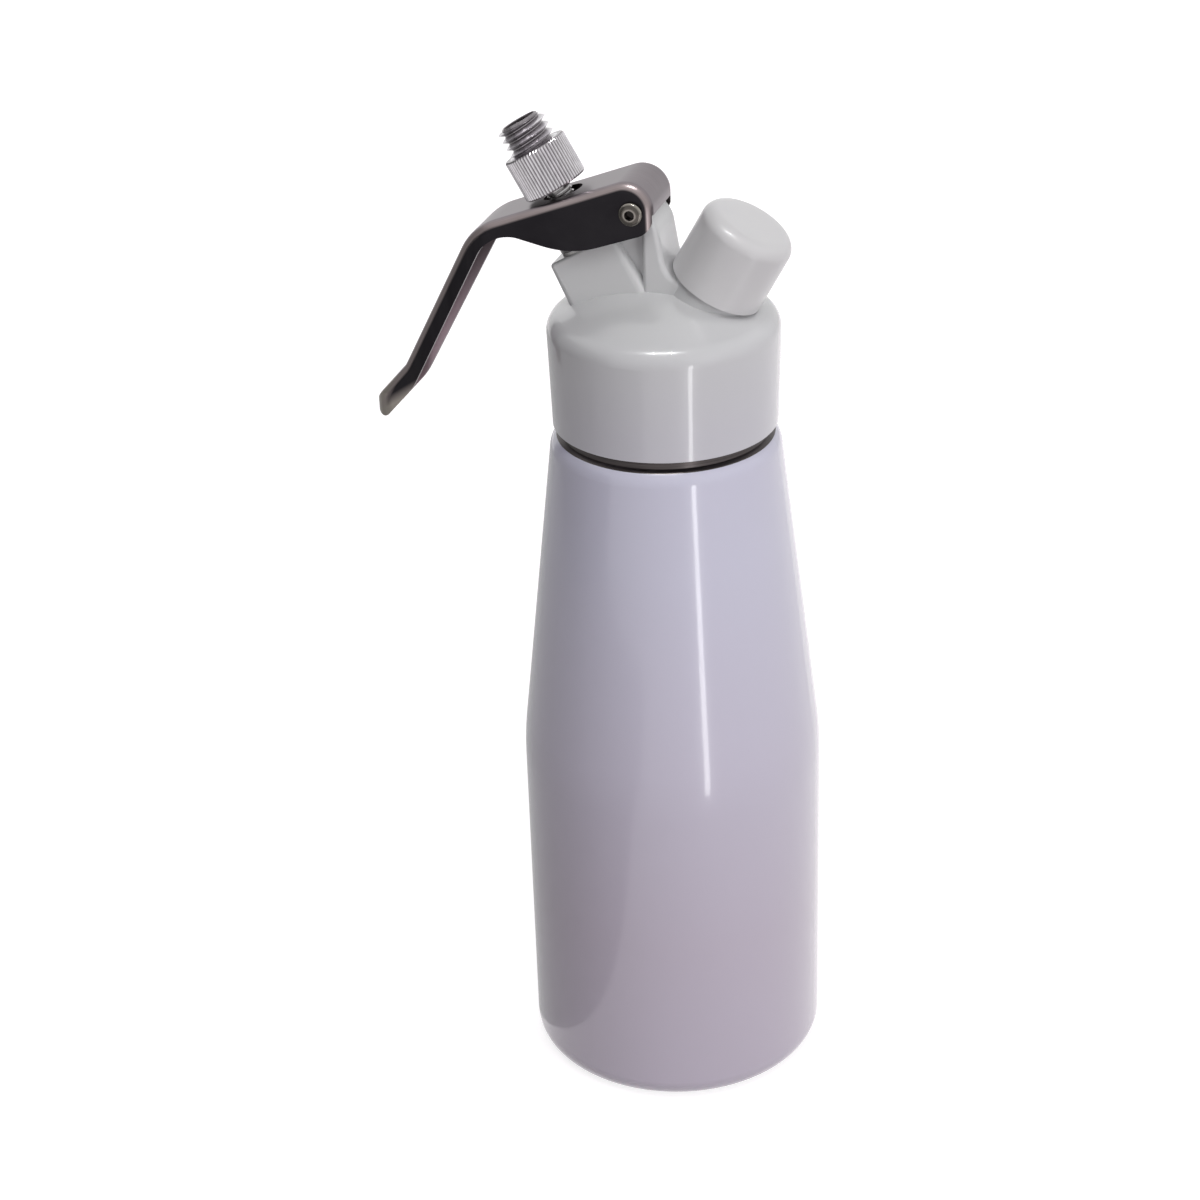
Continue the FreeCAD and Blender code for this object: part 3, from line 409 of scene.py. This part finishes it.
def lever_finish():
    """Dark plated steel toned with painted light and shade: black painted shade on the flanges,
    brown-grey painted sheen on the bends, painted light on the spoon end and the satin top, and a
    painted reflection on the inner faces.
    """
    finish = Finish("dark_plated_steel")
    x, y, z = finish.parts()
    facing = finish.parts(finish.add("TexCoord").outputs["Normal"])
    outward = finish.both(facing[1], finish.math("SIGN", y))
    brushed = finish.noise(1, 4, finish.mapped(scale=(60, 2600, 60)), 0.6)
    blend = finish.clouded(brushed, 0.6, 70)

    # Painted light and shade by which way the surface faces: the flange shade, the top's light, the
    # bends' sheen and the spoon end's light.
    painted_flange_shade = finish.tones(blend, (0.016, 0.0145, 0.017), (0.028, 0.026, 0.029))
    painted_top_light = finish.tones(blend, (0.175, 0.155, 0.165), (0.25, 0.222, 0.237))
    painted_bend_sheen = finish.tones(blend, (0.23, 0.195, 0.195), (0.33, 0.28, 0.28))
    painted_spoon_light = finish.tones(blend, (0.25, 0.225, 0.2), (0.36, 0.33, 0.3))
    # Painted reflection on the inner faces: lilac low by the handle, going to dark painted shade up
    # at the ears.
    handle_height, ear_height = 0.205, 0.232
    painted_inner_reflection = finish.ramp(finish.between(z, handle_height, ear_height),
                        [(0, (0.36, 0.28, 0.31)), (1, (0.06, 0.05, 0.054))])

    # The painted flange shade, black, reaches up to two lines across the side view, which meet at
    # the shade's end.
    flange_shade_end = (-0.0738, 0.1908)
    spoon_normal, edge_normal = (0.555, -0.832), (-0.883, 0.469)

    def past_line(normal):
        """How far a place lies past a line through the painted shade's end, in metres."""
        offset = -normal[0] * flange_shade_end[0] - normal[1] * flange_shade_end[1]
        return finish.math("ADD", finish.math("MULTIPLY", x, normal[0]),
                           finish.math("MULTIPLY_ADD", z, normal[1], offset))

    below, beside = past_line(spoon_normal), past_line(edge_normal)
    core = finish.both(finish.between(below, -0.0005, 0.002, 1, 0),
                       finish.between(beside, 0, 0.0014, 1, 0))
    # Painted shade's mask: outer flange faces short of the spoon end, where painted light takes
    # over.
    flange_shade_mask = finish.both(finish.between(outward, 0.9, 0.975), core)
    spoon_light_mask = finish.either(finish.between(below, -0.001, 0.002),
                             finish.between(beside, 0.0006, 0.002))

    tone = finish.mixed(finish.between(outward, 0.25, 0.75), painted_top_light, painted_bend_sheen)
    tone = finish.mixed(spoon_light_mask, tone, painted_spoon_light)
    tone = finish.mixed(flange_shade_mask, tone, painted_flange_shade)
    tone = finish.mixed(finish.between(outward, -0.85, -0.6, 1, 0), tone, painted_inner_reflection)
    finish.set(Base_Color=tone, Roughness=finish.spread(blend, 0.26, 0.4),
               Normal=finish.bump(brushed, 0.04), Metallic=1)
    return finish.material


def rubber_finish(name, color):
    """Seal rubber or washer plastic with a fine speckle."""
    finish = Finish(name)
    speckle = finish.noise(1500, 4)
    shade = tuple(0.7 * c for c in color)
    finish.set(Base_Color=finish.ramp(speckle, [(0.35, shade), (0.65, color)]),
               Roughness=finish.spread(finish.noise(400), 0.45, 0.6),
               Normal=finish.bump(speckle, 0.1))
    return finish.material


def paint(material, *nodes):
    """Give CAD nodes a finish in place of the ones they came with."""
    for name in nodes:
        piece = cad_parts[name]
        piece.data.materials.clear()
        piece.data.materials.append(material)


# ---------------------------------------------------------------- turned and wound pieces

def knurled_adapter():
    """Knurled adapter with the decorating tip's thread wound round its core."""
    teeth, groove_scale, chamfer = 60, 0.962, 0.4
    outlet_radius, outlet_floor, outlet_chamfer, rim_chamfer = 4.4, 64.5, 0.2, 0.3
    channel_radius, channel_floor = 1.9, 62.4
    socket_radius, socket_ceiling = 3.1, 62.2
    end_radius, near_crest = KNURL_RADIUS - chamfer, KNURL_RADIUS - 0.1

    piece = new_drum("knurled_tip_adapter", 2 * teeth, KNURL_RADIUS,
                     KNURL_LOW + chamfer, KNURL_TOP - chamfer)
    draw_end(piece, 1, KNURL_RADIUS, KNURL_TOP - chamfer, [
        (end_radius, KNURL_TOP), (CORE_RADIUS + chamfer, KNURL_TOP),
        (CORE_RADIUS, KNURL_TOP + chamfer), (CORE_RADIUS, TIP_TOP - rim_chamfer),
        (CORE_RADIUS - rim_chamfer, TIP_TOP), (outlet_radius + outlet_chamfer, TIP_TOP),
        (outlet_radius, TIP_TOP - outlet_chamfer), (outlet_radius, outlet_floor),
        (channel_radius, outlet_floor), (channel_radius, channel_floor)])
    draw_end(piece, -1, KNURL_RADIUS, KNURL_LOW + chamfer, [
        (end_radius, KNURL_LOW), (socket_radius + chamfer, KNURL_LOW),
        (socket_radius, KNURL_LOW + chamfer), (socket_radius, socket_ceiling)])

    def in_groove(point):
        x, y, _ = point.co
        column = round(math.atan2(y, x) / math.tau * 2 * teeth)
        return math.hypot(x, y) > near_crest * MM and column % 2 == 1

    pick_parts(piece, "VERT", in_groove)
    bpy.ops.transform.resize(value=(groove_scale, groove_scale, 1))
    leave_edit()

    sunk = 0.1
    thread = helix("tip_thread", 4, CORE_RADIUS - sunk, CREST_RADIUS - CORE_RADIUS + sunk,
                   rise=0.95, low=KNURL_TOP - 0.5, turns=4.1, pitch=2)
    trim_end(thread, TIP_TOP - 0.7)
    join(piece, thread)
    settle(piece, VALVE_FRAME, smooth=24)
    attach(piece, "adapter")
    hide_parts("tip_adapter")
    return piece


def stem_thread():
    """The stem's own thread, where it shows between the lever and the adapter."""
    piece = helix("stem_thread", 4, 2.95, reach=0.5, rise=0.42, low=52.7, turns=2.9, pitch=1)
    settle(piece, VALVE_FRAME)
    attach(piece, "valve")
    return piece


def return_spring():
    """Return spring round the stem: open coils between a closed turn at each end."""
    wire, radius = 0.45, 4.6
    low, high = SPRING_LOW + wire, SPRING_TOP - wire
    closed = 2 * wire
    piece, middle, top = (
        helix(name, 12, radius, wire, wire, start, turns, pitch, steps=48)
        for name, start, turns, pitch in (
            ("return_spring", low, 1, closed),
            ("spring_middle", low + closed, 2, (high - low) / 2 - closed),
            ("spring_top", high - closed, 1, closed)))
    join(piece, middle, top)
    settle(piece, VALVE_FRAME, smooth=60)
    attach(piece, "head")
    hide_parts("valve_spring")
    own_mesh(piece)
    return piece


def pivot_cap_screw():
    """Domed screw with a six-sided socket, closing the pivot on the near side."""
    head_radius, edge = 3.1, 0.5
    dome = (3.02, 0.8), (2.8, 1.08), (2.46, 1.3), (1.95, 1.45), (1.5, 1.5)
    shank_radius, shank_length = 1.2, 7.8
    socket_radius, socket_height, socket_middle = 1.35, 2.6, 1.7

    piece = new_drum("pivot_cap_screw", 48, head_radius, HALF_WIDTH, HALF_WIDTH + edge)
    draw_end(piece, 1, head_radius, HALF_WIDTH + edge,
             [(radius, HALF_WIDTH + height) for radius, height in dome])
    draw_end(piece, -1, head_radius, HALF_WIDTH,
             [(shank_radius, HALF_WIDTH), (shank_radius, HALF_WIDTH - shank_length)])
    clear_selection()
    bpy.ops.mesh.primitive_cylinder_add(
        vertices=6, radius=socket_radius * MM, depth=socket_height * MM,
        location=(0, 0, (HALF_WIDTH + socket_middle) * MM))
    socket = bpy.context.object
    pick_object(piece)
    cut = piece.modifiers.new("socket", "BOOLEAN")
    cut.operation = "DIFFERENCE"
    cut.object = socket
    bpy.ops.object.modifier_apply(modifier="socket")
    bpy.data.objects.remove(socket)
    settle(piece, Matrix.Translation(PIVOT) @ Matrix.Rotation(math.pi / 2, 4, "X"))
    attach(piece, "head")
    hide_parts("pivot_screw")
    return piece


# ---------------------------------------------------------------- camera, floor and light

def add_camera():
    data = bpy.data.cameras.new("camera")
    data.lens = 81
    data.sensor_width = 36
    data.clip_start = 0.01
    camera = bpy.data.objects.new("camera", data)
    bpy.context.scene.collection.objects.link(camera)
    camera.location = (0.18204, -0.61924, 0.46754)
    camera.rotation_euler = [math.radians(angle) for angle in (62.8348, 1.753, 17.1381)]
    bpy.context.scene.camera = camera


def seen_directly(tree):
    """1 for camera, glossy and transmission rays, which see the background, and 0 for the rest."""
    path = tree.nodes.new("ShaderNodeLightPath")
    total = path.outputs["Is Camera Ray"]
    for name in ("Is Glossy Ray", "Is Transmission Ray"):
        node = tree.nodes.new("ShaderNodeMath")
        node.operation = "MAXIMUM"
        tree.links.new(total, node.inputs[0])
        tree.links.new(path.outputs[name], node.inputs[1])
        total = node.outputs["Value"]
    return total


def glowing_matt(name, color):
    """A matt finish and the socket that sets how strongly it glows white."""
    finish = Finish(name)
    finish.set(Base_Color=(*color, 1), Roughness=1, Specular_IOR_Level=0, Emission_Color=WHITE)
    return finish, finish.shader.inputs["Emission Strength"]


def add_floor():
    """Pale floor: white where it is seen, with the shadow of what stands on it."""
    own_glow, just_below = 0.8, -0.0002
    clear_selection()
    bpy.ops.mesh.primitive_plane_add(size=6, location=(0, 0, just_below))
    floor = bpy.context.object
    floor.name = "floor"
    finish, glow = glowing_matt("pale_floor", (0.42, 0.39, 0.41))
    finish.link(finish.math("MULTIPLY", seen_directly(finish.tree), own_glow), glow)
    floor.data.materials.append(finish.material)


def add_world():
    """Even light from all round, and white where the background is seen."""
    even_light = 0.12
    world = bpy.data.worlds.new("studio")
    bpy.context.scene.world = world
    world.use_nodes = True
    tree = world.node_tree
    background = tree.nodes["Background"]
    background.inputs["Color"].default_value = WHITE
    strength = tree.nodes.new("ShaderNodeMapRange")
    strength.inputs["To Min"].default_value = even_light
    strength.inputs["To Max"].default_value = 1
    tree.links.new(seen_directly(tree), strength.inputs["Value"])
    tree.links.new(strength.outputs["Result"], background.inputs["Strength"])


def at(azimuth, distance, height):
    """A place round the object, by the direction it is seen in from the object's axis."""
    turned_by = math.radians(azimuth)
    return (distance * math.cos(turned_by), distance * math.sin(turned_by), height)


def aimed(place, aim, front):
    """The rotation that points a front axis from a place to an aim."""
    return (Vector(aim) - Vector(place)).to_track_quat(front, "Y").to_euler()


def add_lamp(name, place, aim, size, power, glossy=False, lights=True):
    """Rectangular lamp, not seen itself, that lights the object, shows in its gloss, or both."""
    data = bpy.data.lights.new(name, "AREA")
    data.shape = "RECTANGLE"
    data.size, data.size_y = size
    data.energy = power
    lamp = bpy.data.objects.new(name, data)
    bpy.context.scene.collection.objects.link(lamp)
    lamp.location = place
    lamp.rotation_euler = aimed(place, aim, "-Z")
    lamp.visible_camera = False
    lamp.visible_glossy = glossy
    lamp.visible_diffuse = lights


def add_lamps():
    middle, bottle_middle, head_middle = (0, 0, 0.14), (0, 0, 0.095), (0, 0, 0.2)
    for name, place, size, power in (
            ("right_front_lamp", at(-35, 1.2, 0.5), (0.6, 0.8), 5.1),
            ("right_back_lamp", at(35, 1.1, 0.5), (0.6, 0.8), 1.8),
            ("high_front_lamp", at(-75, 0.7, 1.3), (0.8, 0.8), 5),
            ("high_right_lamp", at(-10, 0.7, 1.3), (0.8, 0.8), 1.6),
            ("high_left_lamp", at(-110, 0.5, 1.4), (0.5, 0.5), 3),
            ("back_lamp", at(106, 1.2, 0.5), (0.6, 0.8), 7)):
        add_lamp(name, place, middle, size, power)
    add_lamp("strip_lamp", at(-50, 0.27, 0.095), bottle_middle, (0.018, 0.19), 0.08, glossy=True)
    for number, azimuth in ((1, -60), (2, -95)):
        add_lamp("ceiling_lamp_%d" % number, at(azimuth, 0.42, 1.5), head_middle, (0.036, 0.036), 4,
                 glossy=True, lights=False)


def add_card(name, place, aim, size, tone):
    """Grey card that only gloss reflects, so that pale edges and bright metal don't go flat."""
    clear_selection()
    bpy.ops.mesh.primitive_plane_add(size=1)
    card = bpy.context.object
    card.name = name
    card.scale = (*size, 1)
    card.location = place
    card.rotation_euler = aimed(place, aim, "Z")
    finish, glow = glowing_matt(name, (0, 0, 0))
    glow.default_value = tone
    card.data.materials.append(finish.material)
    card.visible_camera = card.visible_diffuse = card.visible_shadow = False


# ---------------------------------------------------------------- the scene

paint(bottle_finish(), "bottle")
paint(head_finish(), "head_body")
paint(cap_finish(), "port_cap")
paint(lever_finish(), "lever")

ring_marks = (60, 60, 1500)
turned_steel = metal_finish("turned_steel", (0.42, 0.41, 0.41), (0.62, 0.61, 0.61), (0.18, 0.3),
                            ring_marks, VALVE_LEAN, VALVE_FOOT, 0.08)
pivot_steel = metal_finish("pivot_steel", (0.17, 0.155, 0.14), (0.34, 0.32, 0.3), (0.16, 0.28),
                           (900, 60, 900))
dark_steel = metal_finish("dark_turned_steel", (0.10, 0.10, 0.10), (0.18, 0.175, 0.175),
                          (0.25, 0.4), ring_marks, VALVE_LEAN, VALVE_FOOT, 0.08)
turned_brass = metal_finish("turned_brass", (0.55, 0.4, 0.17), (0.72, 0.54, 0.26), (0.25, 0.4),
                            ring_marks)
paint(turned_steel, "valve_stem", "thrust_collar", "tip_adapter")
paint(pivot_steel, "pivot_barrel", "pivot_screw", "piercing_pin", "retaining_clip", "valve_spring")
paint(dark_steel, "guide_bush")
paint(turned_brass, "inlet_valve")
paint(rubber_finish("black_seal_rubber", (0.035, 0.035, 0.035)), "head_gasket", "seat_gasket",
      "stem_o_ring", "adapter_seal", "charger_gasket", "check_sleeve", "cap_seal")
paint(rubber_finish("white_washer_plastic", (0.8, 0.8, 0.78)), "bush_washer", "lever_washer_near",
      "lever_washer_far", "inlet_washer")

knurled_adapter().data.materials.append(adapter_finish())
stem_thread().data.materials.append(turned_steel)
return_spring().data.materials.append(pivot_steel)
pivot_cap_screw().data.materials.append(pivot_screw_finish())

add_camera()
add_floor()
add_world()
add_lamps()
add_card("grey_card_left", at(190, 0.5, 0.25), (0, 0, 0.24), (0.9, 0.5), 0.4)
add_card("grey_card_on_floor", (-0.34, 0.05, 0.002), (-0.34, 0.05, 1), (0.6, 1.1), 0.58)
bpy.context.scene.view_settings.view_transform = "Standard"
